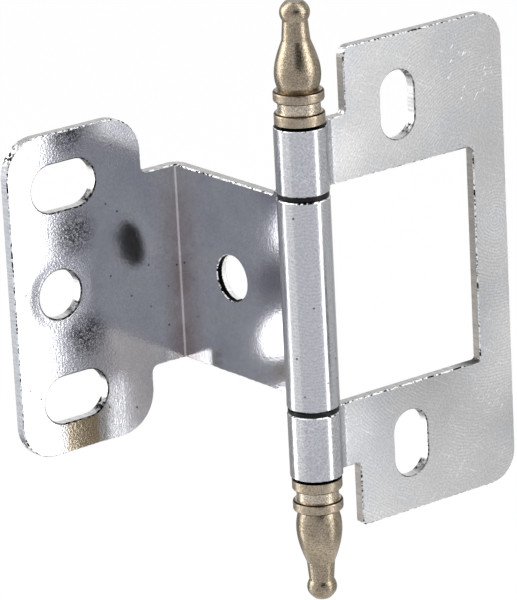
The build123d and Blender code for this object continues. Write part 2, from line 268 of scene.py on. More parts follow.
def makeFrameSteel(look, edge):
    material, tree, inMm, facing = startMaterial("groundZincPlate")
    x, y, z = addNode(tree, "SeparateXYZ", {0: inMm})
    facingX, _, facingZ = addNode(tree, "SeparateXYZ", {0: facing})
    bend = look["bendRadius"]
    bendEnd = pinX + math.sqrt((barrelRadius + bend) ** 2 - (pinY + bend) ** 2)
    flat = addNode(tree, "MapRange", {
        "Value": x, **span("From", [bendEnd + past for past in look["bendFade"]]),
    }, interpolation_type="SMOOTHSTEP")[0]

    marks = curledMarks(tree, inMm, look["grindCentre"], look["grindPitch"], look["grindCurl"], 0.2)
    grain = addNode(tree, "TexNoise", {
        "Vector": inMm, "Scale": 1 / look["grainSize"], "Detail": 2.0, "Roughness": 0.6,
    })[0]
    clouds = addNode(tree, "TexNoise", {
        "Vector": inMm, "Scale": 1 / look["cloudSize"], "Detail": 4.0, "Roughness": 0.55,
    })[0]
    tints = addNode(tree, "TexNoise", {"Vector": inMm, "Scale": 1 / look["tintSize"], "Detail": 3.0})[0]
    tints = addNode(tree, "MapRange", {
        "Value": tints, **span("From", look["tintLevels"]), "To Max": look["tintShare"],
    })[0]

    grainTone = addNode(tree, "MapRange", {
        "Value": grain, **span("From", wideSpan), **span("To", look["grainTone"]),
    })[0]
    fading = addNode(tree, "MapRange", {
        "Value": clouds, **span("From", look["cloudLevels"]), "To Max": look["grindTone"],
    })[0]
    fading = addNode(tree, "Math", {0: fading, 1: flat}, operation="MULTIPLY")[0]
    markTone = addNode(tree, "Math", {0: marks, 1: 0.5}, operation="SUBTRACT")[0]
    markTone = addNode(tree, "Math", {0: markTone, 1: fading, 2: 1.0}, operation="MULTIPLY_ADD")[0]
    cloudTone = addNode(tree, "MapRange", {
        "Value": clouds, **span("From", noiseSpan), **span("To", look["cloudTone"]),
    })[0]
    tone = addNode(tree, "Math", {0: grainTone, 1: cloudTone}, operation="MULTIPLY")[0]
    tone = addNode(tree, "Math", {0: tone, 1: markTone}, operation="MULTIPLY")[0]
    for across, up, reach, change in look["toneSpots"]:
        spotted = nearTo(tree, inMm, (across, 0.0, up), reach, spotCore * reach, "SMOOTHSTEP")
        spotted = addNode(tree, "Math", {0: spotted, 1: change, 2: 1.0}, operation="MULTIPLY_ADD")[0]
        tone = addNode(tree, "Math", {0: tone, 1: spotted}, operation="MULTIPLY")[0]
    for slant in look["scratchSlants"]:
        scratches = slantedNoise(tree, inMm, slant, look["scratchSize"], 1.0, 0.5)
        scratches = addNode(tree, "MapRange", {
            "Value": scratches, **span("From", look["scratchLevels"]),
            **span("To", look["scratchTone"]),
        })[0]
        tone = addNode(tree, "Math", {0: tone, 1: scratches}, operation="MULTIPLY")[0]
    ground = addNode(tree, "Mix", {
        0: tints, 6: toLinear(look["flat"]), 7: toLinear(look["bluish"]),
    }, data_type="RGBA")[2]
    colour = addNode(tree, "Mix", {
        0: flat, 6: toLinear(look["barrel"]), 7: ground,
    }, data_type="RGBA")[2]
    colour = addNode(tree, "VectorMath", {0: colour, "Scale": tone}, operation="SCALE")[0]
    rough = addNode(tree, "Mix", {
        0: flat, 2: look["barrelRoughness"], 3: look["flatRoughness"],
    }, data_type="FLOAT")[0]

    # Bright flecks where something rubbed the leaf
    flecks = slantedNoise(tree, inMm, look["fleckSlant"], look["fleckSize"], 3.0, 0.6)
    flecks = addNode(tree, "MapRange", {"Value": flecks, **span("From", look["fleckLevels"])})[0]
    scuffed = 0.0
    for across, up, reach in look["scuffs"]:
        near = nearTo(tree, inMm, (across, 0.0, up), reach, reach - look["scuffFade"], "LINEAR")
        scuffed = addNode(tree, "Math", {0: near, 1: scuffed}, operation="MAXIMUM")[0]
    flecks = addNode(tree, "Math", {0: flecks, 1: scuffed}, operation="MULTIPLY")[0]
    colour = addNode(tree, "Mix", {
        0: flecks, 6: colour, 7: toLinear(edge["bright"]),
    }, data_type="RGBA")[2]

    grainHeight = addNode(tree, "Math", {0: grain, 1: look["grainDepth"]}, operation="MULTIPLY")[0]
    markHeight = addNode(tree, "Math", {0: marks, 1: look["grindDepth"]}, operation="MULTIPLY")[0]
    height = addNode(tree, "Math", {
        0: markHeight, 1: flat, 2: grainHeight,
    }, operation="MULTIPLY_ADD")[0]

    beyondBend = addNode(tree, "Math", {0: x, 1: bendEnd}, operation="GREATER_THAN")[0]
    across = addNode(tree, "Math", {0: facingX, 1: beyondBend}, operation="MULTIPLY")[0]
    turned = addNode(tree, "Math", {0: facingZ, 1: across}, operation="MAXIMUM")[0]
    depth = addNode(tree, "Math", {0: y, 1: pinY}, operation="SUBTRACT")[0]
    depth = addNode(tree, "Math", {0: depth}, operation="ABSOLUTE")[0]
    reach = addNode(tree, "Math", {0: z}, operation="ABSOLUTE")[0]
    slotX, slotZ, slotReach = look["slots"]
    folded = addNode(tree, "CombineXYZ", {0: x, 2: reach})[0]
    inHole = addNode(tree, "VectorMath", {0: folded, 1: (slotX, 0.0, slotZ)}, operation="DISTANCE")[1]
    inHole = addNode(tree, "Math", {0: inHole, 1: slotReach}, operation="LESS_THAN")[0]
    colour, rough, height = addCutEdges(
        tree, edge, inMm, facing, turned, inHole, depth, (1.0, edge["tearStretch"], 1.0),
        (colour, rough, height),
    )

    # Painted shadow in the window's lower corner, on faces that look up or down
    across, up, shadowReach, core = look["shadowedCorner"]
    shadowedCorner = nearTo(tree, inMm, (across, pinY, up), shadowReach, core, "LINEAR")
    upward = addNode(tree, "MapRange", {
        "Value": facingZ, **span("From", look["shadowTurn"]), "To Max": look["shadowShare"],
    })[0]
    shadowedCorner = addNode(tree, "Math", {0: shadowedCorner, 1: upward}, operation="MULTIPLY")[0]
    colour = addNode(tree, "Mix", {
        0: shadowedCorner, 6: colour, 7: toLinear(look["windowCornerShadow"]),
    }, data_type="RGBA")[2]

    # Painted shade on the knuckles' outer ends, in the slit under the finials
    aside = addNode(tree, "VectorMath", {0: inMm, 1: (1.0, 1.0, 0.0)}, operation="MULTIPLY")[0]
    aside = addNode(tree, "VectorMath", {0: aside, 1: (pinX, pinY, 0.0)}, operation="DISTANCE")[1]
    fromSide, fromEnd = look["slitShade"]
    inSlitShade = addNode(tree, "Math", {0: aside, 1: barrelRadius - fromSide}, operation="LESS_THAN")[0]
    end = addNode(tree, "Math", {0: reach, 1: barrelEnd - fromEnd}, operation="GREATER_THAN")[0]
    inSlitShade = addNode(tree, "Math", {0: inSlitShade, 1: end}, operation="MULTIPLY")[0]
    colour = addNode(tree, "Mix", {
        0: inSlitShade, 6: colour, 7: toLinear(edge["dark"]),
    }, data_type="RGBA")[2]
    finishMetal(tree, colour, rough, height)
    return material


# The same plate over an unground sheet comes out bright: nearly a mirror, with a fine orange
# peel, lilac clouds, dark pits, painted dark reflections beside the plate's punched holes, a patch
# of dried oil at its lower edge, and warm stains with painted shade where it was folded
doorFinish = {
    "flat": "#BFC0C4",
    "barrel": "#C7C8CC",
    "cloud": "#AEAFB9",
    "foldStainAndShade": "#A89A96",
    "pit": "#4A4847",
    "oilColour": "#ACA08A",
    "sideWall": "#9DA0A4",
    # how dark the rims of the plate's holes are painted, a painted reflection
    "holeRim": 0.8,
    "flatRoughness": 0.13,
    "barrelRoughness": 0.20,
    "bendFade": (0.1, 1.6),  # mm off the barrel, from its finish to the flats'
    "bendReach": 1.2,  # mm off the barrel, where the bend into the flange ends
    "peelSize": 0.32,  # mm across one dimple
    "peelDepths": (0.009, 0.019),  # mm, plain and in the hammered strip
    "hammered": (-33.5, 5.2, 3.0),  # mm across, reach and fade of the strip that punching roughened
    "waveSize": 2.5,  # mm
    "waveDepth": 0.008,  # mm
    "cloudSize": 7.69,  # mm
    "cloudLevels": (0.45, 0.62),
    "cloudShare": 0.5,
    "grainSize": 0.22,  # mm
    "grainTone": (0.84, 1.16),
    "rubPitch": 0.45,  # mm between the rub marks on the barrel
    "rubCentre": (-17.0, 0.0, 7.0),  # mm
    "rubCurl": 12.0,  # how far they bend out of round
    "rubTone": 0.07,
    "pitSpacing": 1.5,  # mm
    "pitLevels": (0.12, 0.07),  # shares of the spacing, from a pit's edge to its floor
    "pitless": 0.72,  # share of the places that have no pit
    "stainReach": (4.5, 0.4),  # mm from the fold, from none to the most
    "stainLevels": (0.35, 0.6),
    "stainShare": (0.1375, 0.55),
    "darkReflectionPatches": [  # mm across, up and reach of each patch of painted dark reflection
        (-32.6, 20.4, 3.6), (-32.4, 7.6, 4.3), (-31.4, -6.4, 4.6),
    ],
    "darkReflectionSpeck": 0.24,  # mm, one speck
    "darkReflectionLevels": (0.38, 0.66),
    "darkReflectionTone": (0.06, 1.1),
    "oil": (-33.0, -16.3, 2.7),  # mm across, top and reach of the dried oil
    "oilEdge": (-0.8, -1.2),  # mm from its reach, from none to full
    "oilRagged": 1.6,  # mm that the peel moves its edge
    "oilShare": 0.8,
    "plateReach": 4.0,  # mm in front of the back plate that still count as the plate
    "plateHole": (-35.15, 0.0, 3.2),  # mm across, up and radius; the plate is dished round it
    "dishReach": 1.9,  # mm from the hole's edge
    "dishDepth": 0.045,  # mm
    "plateSlots": (-33.65, 14.1),  # mm across, and up or down
    "slotShape": (1.85, 3.15),  # mm, half the straight part and the radius of the ends
    "rimLine": 0.17,  # mm, the painted dark line round each of the plate's holes, a painted reflection
    "rimLevels": (0.4, 0.6),
    "rimShare": (0.82, 0.97),
    "holeField": (2.0, 1.5, 11.0),  # mm in from the free edge and ends, and out from the pin
    "flangeHole": (15.4, 0.0, 3.05),  # mm back, up and radius
    "boreSlack": 0.03,  # mm past the radius that still counts as the hole's wall
    "boreRoughness": 0.8,
}


def makeDoorSteel(look, edge):
    material, tree, inMm, facing = startMaterial("brightZincPlate")
    x, y, z = addNode(tree, "SeparateXYZ", {0: inMm})
    facingX, facingY, facingZ = addNode(tree, "SeparateXYZ", {0: facing})
    aside = addNode(tree, "VectorMath", {0: inMm, 1: (1.0, 1.0, 0.0)}, operation="MULTIPLY")[0]
    fromPin = addNode(tree, "VectorMath", {0: aside, 1: (pinX, pinY, 0.0)}, operation="DISTANCE")[1]
    upright = addNode(tree, "CombineXYZ", {0: x, 2: z})[0]
    flat = addNode(tree, "MapRange", {
        "Value": fromPin, **span("From", [barrelRadius + off for off in look["bendFade"]]),
    }, interpolation_type="SMOOTHSTEP")[0]

    # Which way the sheet lies: the plate's faces look along Y, the flange's along X
    onPlate = addNode(tree, "Math", {0: x, 1: flangeFace - foldRadius}, operation="LESS_THAN")[0]
    behind = addNode(tree, "Math", {0: y, 1: plateFace - look["plateReach"]}, operation="GREATER_THAN")[0]
    onPlate = addNode(tree, "Math", {0: onPlate, 1: behind}, operation="MULTIPLY")[0]
    onFlange = addNode(tree, "Math", {0: y, 1: plateFace - foldRadius}, operation="LESS_THAN")[0]
    pastBarrel = addNode(tree, "Math", {
        0: fromPin, 1: barrelRadius + look["bendReach"],
    }, operation="GREATER_THAN")[0]
    onFlange = addNode(tree, "Math", {0: onFlange, 1: pastBarrel}, operation="MULTIPLY")[0]
    rests = addNode(tree, "Math", {0: y, 1: plateFace + foldRadius}, operation="LESS_THAN")[0]
    rests = addNode(tree, "Math", {0: rests, 1: onPlate}, operation="MULTIPLY")[0]

    peel = addNode(tree, "TexNoise", {
        "Vector": inMm, "Scale": 1 / look["peelSize"], "Detail": 2.0, "Roughness": 0.55,
    })[0]
    grain = addNode(tree, "TexNoise", {
        "Vector": inMm, "Scale": 1 / look["grainSize"], "Detail": 2.0, "Roughness": 0.6, "Distortion": 0.3,
    })[0]
    waves = addNode(tree, "TexNoise", {"Vector": inMm, "Scale": 1 / look["waveSize"], "Detail": 2.0})[0]
    clouds = addNode(tree, "TexNoise", {
        "Vector": inMm, "Scale": 1 / look["cloudSize"], "Detail": 5.0, "Roughness": 0.6,
    })[0]

    colour = addNode(tree, "Mix", {
        0: flat, 6: toLinear(look["barrel"]), 7: toLinear(look["flat"]),
    }, data_type="RGBA")[2]
    cloudy = addNode(tree, "MapRange", {
        "Value": clouds, **span("From", look["cloudLevels"]), "To Max": look["cloudShare"],
    })[0]
    cloudy = addNode(tree, "Math", {0: cloudy, 1: flat}, operation="MULTIPLY")[0]
    colour = addNode(tree, "Mix", {
        0: cloudy, 6: colour, 7: toLinear(look["cloud"]),
    }, data_type="RGBA")[2]
    # Warm stain beside the fold, darkened further as painted shade
    stainedAndShaded = nearTo(tree, aside, (flangeFace, plateFace, 0.0), *look["stainReach"], "SMOOTHSTEP")
    patchy = addNode(tree, "MapRange", {
        "Value": clouds, **span("From", look["stainLevels"]), **span("To", look["stainShare"]),
    })[0]
    stainedAndShaded = addNode(tree, "Math", {0: stainedAndShaded, 1: patchy}, operation="MULTIPLY")[0]
    colour = addNode(tree, "Mix", {
        0: stainedAndShaded, 6: colour, 7: toLinear(look["foldStainAndShade"]),
    }, data_type="RGBA")[2]

    # The tone of grain and, on the barrel only, of rub marks
    grainTone = addNode(tree, "MapRange", {
        "Value": grain, **span("From", wideSpan), **span("To", look["grainTone"]),
    })[0]
    rubs = curledMarks(tree, inMm, look["rubCentre"], look["rubPitch"], look["rubCurl"], 0.25)
    rubbed = addNode(tree, "Math", {0: rubs, 1: 0.5}, operation="SUBTRACT")[0]
    onBarrel = addNode(tree, "MapRange", {"Value": flat, "To Min": look["rubTone"], "To Max": 0.0})[0]
    tone = addNode(tree, "Math", {
        0: rubbed, 1: onBarrel, 2: grainTone,
    }, operation="MULTIPLY_ADD")[0]
    colour = addNode(tree, "VectorMath", {0: colour, "Scale": tone}, operation="SCALE")[0]

    spots = addNode(tree, "TexVoronoi", {"Vector": inMm, "Scale": 1 / look["pitSpacing"]})
    pitted = addNode(tree, "MapRange", {
        "Value": spots["Distance"], **span("From", look["pitLevels"]),
    })[0]
    chosen = addNode(tree, "SeparateXYZ", {0: spots["Color"]})[0]
    chosen = addNode(tree, "Math", {0: chosen, 1: look["pitless"]}, operation="GREATER_THAN")[0]
    pitted = addNode(tree, "Math", {0: pitted, 1: chosen}, operation="MULTIPLY")[0]
    colour = addNode(tree, "Mix", {
        0: pitted, 6: colour, 7: toLinear(look["pit"]),
    }, data_type="RGBA")[2]
    rough = addNode(tree, "Mix", {
        0: flat, 2: look["barrelRoughness"], 3: look["flatRoughness"],
    }, data_type="FLOAT")[0]

    # Orange peel, deeper where the plate is hammered, over long waves
    stripX, stripReach, stripFade = look["hammered"]
    hammered = addNode(tree, "Math", {0: x, 1: stripX}, operation="SUBTRACT")[0]
    hammered = addNode(tree, "Math", {0: hammered}, operation="ABSOLUTE")[0]
    hammered = addNode(tree, "MapRange", {
        "Value": hammered, "From Min": stripReach, "From Max": stripReach - stripFade,
    }, interpolation_type="SMOOTHSTEP")[0]
    behindFold = addNode(tree, "MapRange", {
        "Value": y, "From Min": plateFace - foldRadius, "From Max": plateFace,
    })[0]
    hammered = addNode(tree, "Math", {0: hammered, 1: behindFold}, operation="MULTIPLY")[0]
    peelDepth = addNode(tree, "MapRange", {"Value": hammered, **span("To", look["peelDepths"])})[0]
    peelHeight = addNode(tree, "Math", {0: peel, 1: peelDepth}, operation="MULTIPLY")[0]
    height = addNode(tree, "Math", {
        0: waves, 1: look["waveDepth"], 2: peelHeight,
    }, operation="MULTIPLY_ADD")[0]

    # The plate is dished round its round hole
    holeX, holeZ, holeRadius = look["plateHole"]
    fromHole = addNode(tree, "VectorMath", {0: upright, 1: (holeX, 0.0, holeZ)}, operation="DISTANCE")[1]
    dish = addNode(tree, "MapRange", {
        "Value": fromHole, "From Min": holeRadius + look["dishReach"], "From Max": holeRadius,
        "To Max": -look["dishDepth"],
    }, interpolation_type="SMOOTHSTEP")[0]
    height = addNode(tree, "Math", {0: dish, 1: onPlate, 2: height}, operation="MULTIPLY_ADD")[0]

    # Painted dark reflection in specks beside the punched holes, on the side that the door rests on
    darkSpots = 0.0
    for across, up, reach in look["darkReflectionPatches"]:
        near = nearTo(tree, upright, (across, 0.0, up), reach, spotCore * reach, "SMOOTHSTEP")
        darkSpots = addNode(tree, "Math", {0: near, 1: darkSpots}, operation="MAXIMUM")[0]
    darkSpots = addNode(tree, "Math", {0: darkSpots, 1: rests}, operation="MULTIPLY")[0]
    specks = addNode(tree, "TexNoise", {
        "Vector": inMm, "Scale": 1 / look["darkReflectionSpeck"], "Detail": 2.0, "Roughness": 0.7,
    })[0]
    specks = addNode(tree, "MapRange", {
        "Value": specks, **span("From", look["darkReflectionLevels"]), **span("To", look["darkReflectionTone"]),
    })[0]
    specks = addNode(tree, "Mix", {0: darkSpots, 2: 1.0, 3: specks}, data_type="FLOAT")[0]
    colour = addNode(tree, "VectorMath", {0: colour, "Scale": specks}, operation="SCALE")[0]

    # Dried oil, with a ragged edge
    oilX, oilTop, oilReach = look["oil"]
    oily = addNode(tree, "Math", {0: x, 1: oilX}, operation="SUBTRACT")[0]
    oily = addNode(tree, "Math", {0: oily}, operation="ABSOLUTE")[0]
    oily = addNode(tree, "Math", {0: peel, 1: -look["oilRagged"], 2: oily}, operation="MULTIPLY_ADD")[0]
    oily = addNode(tree, "MapRange", {
        "Value": oily, **span("From", [oilReach + off for off in look["oilEdge"]]),
        "To Max": look["oilShare"],
    })[0]
    below = addNode(tree, "Math", {0: z, 1: oilTop}, operation="LESS_THAN")[0]
    for limit in (below, rests):
        oily = addNode(tree, "Math", {0: oily, 1: limit}, operation="MULTIPLY")[0]
    colour = addNode(tree, "Mix", {
        0: oily, 6: colour, 7: toLinear(look["oilColour"]),
    }, data_type="RGBA")[2]

    # A painted dark line round each of the plate's holes, a painted reflection of the rounded rim
    slotX, slotZ = look["plateSlots"]
    slotHalf, slotRadius = look["slotShape"]
    slotAcross = addNode(tree, "Math", {0: x, 1: slotX}, operation="SUBTRACT")[0]
    slotAcross = addNode(tree, "Math", {0: slotAcross}, operation="ABSOLUTE")[0]
    slotAcross = addNode(tree, "Math", {0: slotAcross, 1: slotHalf}, operation="SUBTRACT")[0]
    slotAcross = addNode(tree, "Math", {0: slotAcross, 1: 0.0}, operation="MAXIMUM")[0]
    fromMiddle = addNode(tree, "Math", {0: z}, operation="ABSOLUTE")[0]
    slotUp = addNode(tree, "Math", {0: fromMiddle, 1: slotZ}, operation="SUBTRACT")[0]
    fromSlot = addNode(tree, "CombineXYZ", {0: slotAcross, 2: slotUp})[0]
    fromSlot = addNode(tree, "VectorMath", {0: fromSlot}, operation="LENGTH")[1]
    fromSlot = addNode(tree, "Math", {0: fromSlot, 1: slotRadius}, operation="SUBTRACT")[0]
    fromRim = addNode(tree, "Math", {0: fromHole, 1: holeRadius}, operation="SUBTRACT")[0]
    fromRim = addNode(tree, "Math", {0: fromRim, 1: fromSlot}, operation="MINIMUM")[0]
    lined = addNode(tree, "Math", {0: fromRim, 1: look["rimLine"]}, operation="LESS_THAN")[0]
    broken = addNode(tree, "MapRange", {
        "Value": peel, **span("From", look["rimLevels"]), **span("To", look["rimShare"]),
    })[0]
    for limit in (rests, broken):
        lined = addNode(tree, "Math", {0: lined, 1: limit}, operation="MULTIPLY")[0]
    colour = addNode(tree, "Mix", {
        0: lined, 6: colour, 7: toLinear(edge["dark"]),
    }, data_type="RGBA")[2]

    # Cut edges, with the walls between the free edge, the ends and the pin taken as the holes'
    plateWall = addNode(tree, "Math", {0: facingX, 1: onPlate}, operation="MULTIPLY")[0]
    flangeWall = addNode(tree, "Math", {0: facingY, 1: onFlange}, operation="MULTIPLY")[0]
    turned = addNode(tree, "Math", {0: facingZ, 1: plateWall}, operation="MAXIMUM")[0]
    turned = addNode(tree, "Math", {0: turned, 1: flangeWall}, operation="MAXIMUM")[0]
    flangeDepth = addNode(tree, "Math", {0: x, 1: pinX}, operation="SUBTRACT")[0]
    flangeDepth = addNode(tree, "Math", {0: flangeDepth}, operation="ABSOLUTE")[0]
    plateDepth = addNode(tree, "Math", {0: y, 1: plateFace + sheet / 2}, operation="SUBTRACT")[0]
    plateDepth = addNode(tree, "Math", {0: plateDepth}, operation="ABSOLUTE")[0]
    depth = addNode(tree, "Math", {0: flangeDepth, 1: plateDepth}, operation="MINIMUM")[0]
    fromEdge, fromEnds, outFromPin = look["holeField"]
    inHole = addNode(tree, "Math", {0: x, 1: doorLow.x + fromEdge}, operation="GREATER_THAN")[0]
    inner = addNode(tree, "Math", {0: fromMiddle, 1: doorHigh.z - fromEnds}, operation="LESS_THAN")[0]
    outer = addNode(tree, "Math", {0: x, 1: pinX - outFromPin}, operation="LESS_THAN")[0]
    for limit in (onPlate, inner, outer):
        inHole = addNode(tree, "Math", {0: inHole, 1: limit}, operation="MULTIPLY")[0]
    stretch = edge["tearStretch"]
    tearWay = addNode(tree, "Mix", {
        0: onFlange, 4: (1.0, stretch, 1.0), 5: (stretch, 1.0, 1.0),
    }, data_type="VECTOR")[1]
    colour, rough, height = addCutEdges(
        tree, {**edge, "sideWall": look["sideWall"], "holeRim": look["holeRim"]},
        inMm, facing, turned, inHole, depth, tearWay, (colour, rough, height),
    )

    # The flange's hole wall is painted black as shade, but its farther half on the side of the fold is
    # painted white as light
    holeY, holeZ, holeRadius = look["flangeHole"]
    sideways = addNode(tree, "CombineXYZ", {1: y, 2: z})[0]
    fromHole = addNode(tree, "VectorMath", {0: sideways, 1: (0.0, holeY, holeZ)}, operation="DISTANCE")[1]
    boreReach = holeRadius + look["boreSlack"]
    bored = addNode(tree, "Math", {0: fromHole, 1: boreReach}, operation="LESS_THAN")[0]
    bored = addNode(tree, "Math", {0: bored, 1: onFlange}, operation="MULTIPLY")[0]
    litHalf = addNode(tree, "Math", {0: x, 1: pinX}, operation="GREATER_THAN")[0]
    foldSide = addNode(tree, "Math", {0: y, 1: holeY}, operation="GREATER_THAN")[0]
    litHalf = addNode(tree, "Math", {0: litHalf, 1: foldSide}, operation="MULTIPLY")[0]
    boreWall = addNode(tree, "Mix", {
        0: litHalf, 6: toLinear(edge["dark"]), 7: toLinear(edge["bright"]),
    }, data_type="RGBA")[2]
    colour = addNode(tree, "Mix", {0: bored, 6: colour, 7: boreWall}, data_type="RGBA")[2]
    rough = addNode(tree, "Mix", {0: bored, 2: rough, 3: look["boreRoughness"]}, data_type="FLOAT")[0]
    finishMetal(tree, colour, rough, height)
    return material


# Turned brass under thin nickel: warm grey with a coarse grain and the lathe's rings, duller on
# the collars and brighter in the groove between them, with a painted shade line on each collar's
# lip and painted shade in the slit beside the barrel
finialFinish = {
    "body": "#A09380",
    "collar": "#AC9F8C",
    "groove": "#C6BAA8",
    # a painted shade line on each collar's lip
    "rim": "#35200F",
    # painted shade for the slit beside the barrel
    "dark": "#14110F",
    "bodyRoughness": 0.26,
    "collarRoughness": 0.33,
    "ringPitch": 0.3,  # mm between the lathe's rings, drawn coarser than the real 0.08 mm to show
    "ringDepth": 0.019,  # mm
    "grainSize": 0.2,  # mm
    "grainTone": (0.5, 1.42),
    "grainDepths": (0.022, 0.03),  # mm, plain and on the collars
    "blotchSize": 2.0,  # mm
    "blotchTone": (0.85, 1.12),
    "seatHeight": 0.35,  # mm, the slit beside the barrel
    "seatSlack": 0.02,  # mm past the slit that is painted dark as well
    "collarHeight": 1.45,  # mm
    "grooveHeight": 1.35,  # mm, between the two collars
    # How far up or down a face looks, where a collar's side ends, its lip starts and its end is flat
    "sideTurn": (0.5, 0.25),
    "lipTurn": (0.35, 0.6),
    "endTurn": (0.93, 0.99),
}


def makeFinialNickel(look):
    material, tree, inMm, facing = startMaterial("nickelledBrass")
    z = addNode(tree, "SeparateXYZ", {0: inMm})[2]
    facingZ = addNode(tree, "SeparateXYZ", {0: facing})[2]
    reach = addNode(tree, "Math", {0: z}, operation="ABSOLUTE")[0]
    reach = addNode(tree, "Math", {0: reach, 1: barrelEnd}, operation="SUBTRACT")[0]
    grain = addNode(tree, "TexNoise", {
        "Vector": inMm, "Scale": 1 / look["grainSize"], "Detail": 3.0, "Roughness": 0.65,
    })[0]
    blotches = addNode(tree, "TexNoise", {
        "Vector": inMm, "Scale": 1 / look["blotchSize"], "Detail": 3.0,
    })[0]
    along = addNode(tree, "CombineXYZ", {2: z})[0]
    rings = addNode(tree, "TexNoise", {
        "Vector": along, "Scale": 1 / look["ringPitch"], "Detail": 2.0,
    })[0]

    # Seat, collar, groove, collar and body follow each other outwards
    halfGroove = look["grooveHeight"] / 2
    grooveMiddle = look["seatHeight"] + look["collarHeight"] + halfGroove
    fromGroove = addNode(tree, "Math", {0: reach, 1: grooveMiddle}, operation="SUBTRACT")[0]
    fromGroove = addNode(tree, "Math", {0: fromGroove}, operation="ABSOLUTE")[0]
    inGroove = addNode(tree, "Math", {0: fromGroove, 1: halfGroove}, operation="LESS_THAN")[0]
    collarsEnd = halfGroove + look["collarHeight"]
    beyond = addNode(tree, "Math", {0: fromGroove, 1: collarsEnd}, operation="GREATER_THAN")[0]
    smooth = addNode(tree, "Math", {0: inGroove, 1: beyond}, operation="MAXIMUM")[0]
    onCollar = addNode(tree, "Math", {0: 1.0, 1: smooth}, operation="SUBTRACT")[0]
    seatEnd = look["seatHeight"] + look["seatSlack"]
    inSeatShade = addNode(tree, "Math", {0: reach, 1: seatEnd}, operation="LESS_THAN")[0]
    side = addNode(tree, "MapRange", {"Value": facingZ, **span("From", look["sideTurn"])})[0]
    matte = addNode(tree, "Math", {0: onCollar, 1: side}, operation="MULTIPLY")[0]
    lip = addNode(tree, "MapRange", {"Value": facingZ, **span("From", look["lipTurn"])})[0]
    flatEnd = addNode(tree, "MapRange", {"Value": facingZ, **span("From", look["endTurn"])})[0]
    lip = addNode(tree, "Math", {0: lip, 1: flatEnd}, operation="SUBTRACT")[0]
    lip = addNode(tree, "Math", {0: lip, 1: onCollar}, operation="MULTIPLY")[0]
    shelf = addNode(tree, "Math", {0: flatEnd, 1: onCollar}, operation="MULTIPLY")[0]

    colour = toLinear(look["body"])
    # The lips get the painted shade line
    paints = ((inGroove, "groove"), (onCollar, "collar"), (lip, "rim"), (shelf, "groove"))
    for share, paint in paints:
        colour = addNode(tree, "Mix", {
            0: share, 6: colour, 7: toLinear(look[paint]),
        }, data_type="RGBA")[2]
    grainTone = addNode(tree, "MapRange", {
        "Value": grain, **span("From", noiseSpan), **span("To", look["grainTone"]),
    })[0]
    blotchTone = addNode(tree, "MapRange", {
        "Value": blotches, **span("From", noiseSpan), **span("To", look["blotchTone"]),
    })[0]
    tone = addNode(tree, "Math", {0: grainTone, 1: blotchTone}, operation="MULTIPLY")[0]
    colour = addNode(tree, "VectorMath", {0: colour, "Scale": tone}, operation="SCALE")[0]
    # Painted shade in the slit beside the barrel
    colour = addNode(tree, "Mix", {
        0: inSeatShade, 6: colour, 7: toLinear(look["dark"]),
    }, data_type="RGBA")[2]
    rough = addNode(tree, "Mix", {
        0: matte, 2: look["bodyRoughness"], 3: look["collarRoughness"],
    }, data_type="FLOAT")[0]
    grainDepth = addNode(tree, "MapRange", {"Value": matte, **span("To", look["grainDepths"])})[0]
    grainHeight = addNode(tree, "Math", {0: grain, 1: grainDepth}, operation="MULTIPLY")[0]
    height = addNode(tree, "Math", {
        0: rings, 1: look["ringDepth"], 2: grainHeight,
    }, operation="MULTIPLY_ADD")[0]
    finishMetal(tree, colour, rough, height)
    return material


# Moulded nylon washers: black with a slight gloss that catches a few glints
washerFinish = {
    "nylon": "#0E0E10",
    "roughness": (0.25, 0.41),
    "ior": 1.53,
    "gloss": 0.2,
    "grainSize": 0.25,  # mm
    "grainDepth": 0.02,  # mm
}


def makeBlackNylon(look):
    material, tree, inMm, _ = startMaterial("mouldedBlackNylon")
    grain = addNode(tree, "TexNoise", {
        "Vector": inMm, "Scale": 1 / look["grainSize"], "Detail": 2.0,
    })[0]
    height = addNode(tree, "Math", {0: grain, 1: look["grainDepth"]}, operation="MULTIPLY")[0]
    skin = addNode(tree, "Bump", {"Height": height, "Distance": mm})[0]
    rough = addNode(tree, "MapRange", {
        "Value": grain, **span("From", noiseSpan), **span("To", look["roughness"]),
    })[0]
    nylon = addNode(tree, "BsdfPrincipled", {
        "Base Color": toLinear(look["nylon"]), "Roughness": rough, "Normal": skin,
        "IOR": look["ior"], "Specular IOR Level": look["gloss"],
    })[0]
    addNode(tree, "OutputMaterial", {"Surface": nylon})
    return material


# Drawn steel wire: grey, with fine lines along it from the die
pinFinish = {
    "wire": "#A9AAAD",
    "roughness": 0.3,
    "lineWidth": 0.12,  # mm
    "lineStretch": 0.03,  # a line's width against its length
    "lineTone": (0.85, 1.1),
    "lineDepth": 0.006,  # mm
}


def makeDrawnWire(look):
    material, tree, inMm, _ = startMaterial("drawnSteelWire")
    drawn = addNode(tree, "VectorMath", {
        0: inMm, 1: (1.0, 1.0, look["lineStretch"]),
    }, operation="MULTIPLY")[0]
    lines = addNode(tree, "TexNoise", {
        "Vector": drawn, "Scale": 1 / look["lineWidth"], "Detail": 2.0,
    })[0]
    tone = addNode(tree, "MapRange", {
        "Value": lines, **span("From", noiseSpan), **span("To", look["lineTone"]),
    })[0]
    colour = addNode(tree, "VectorMath", {
        0: toLinear(look["wire"])[:3], "Scale": tone,
    }, operation="SCALE")[0]
    height = addNode(tree, "Math", {0: lines, 1: look["lineDepth"]}, operation="MULTIPLY")[0]
    finishMetal(tree, colour, look["roughness"], height)
    return material


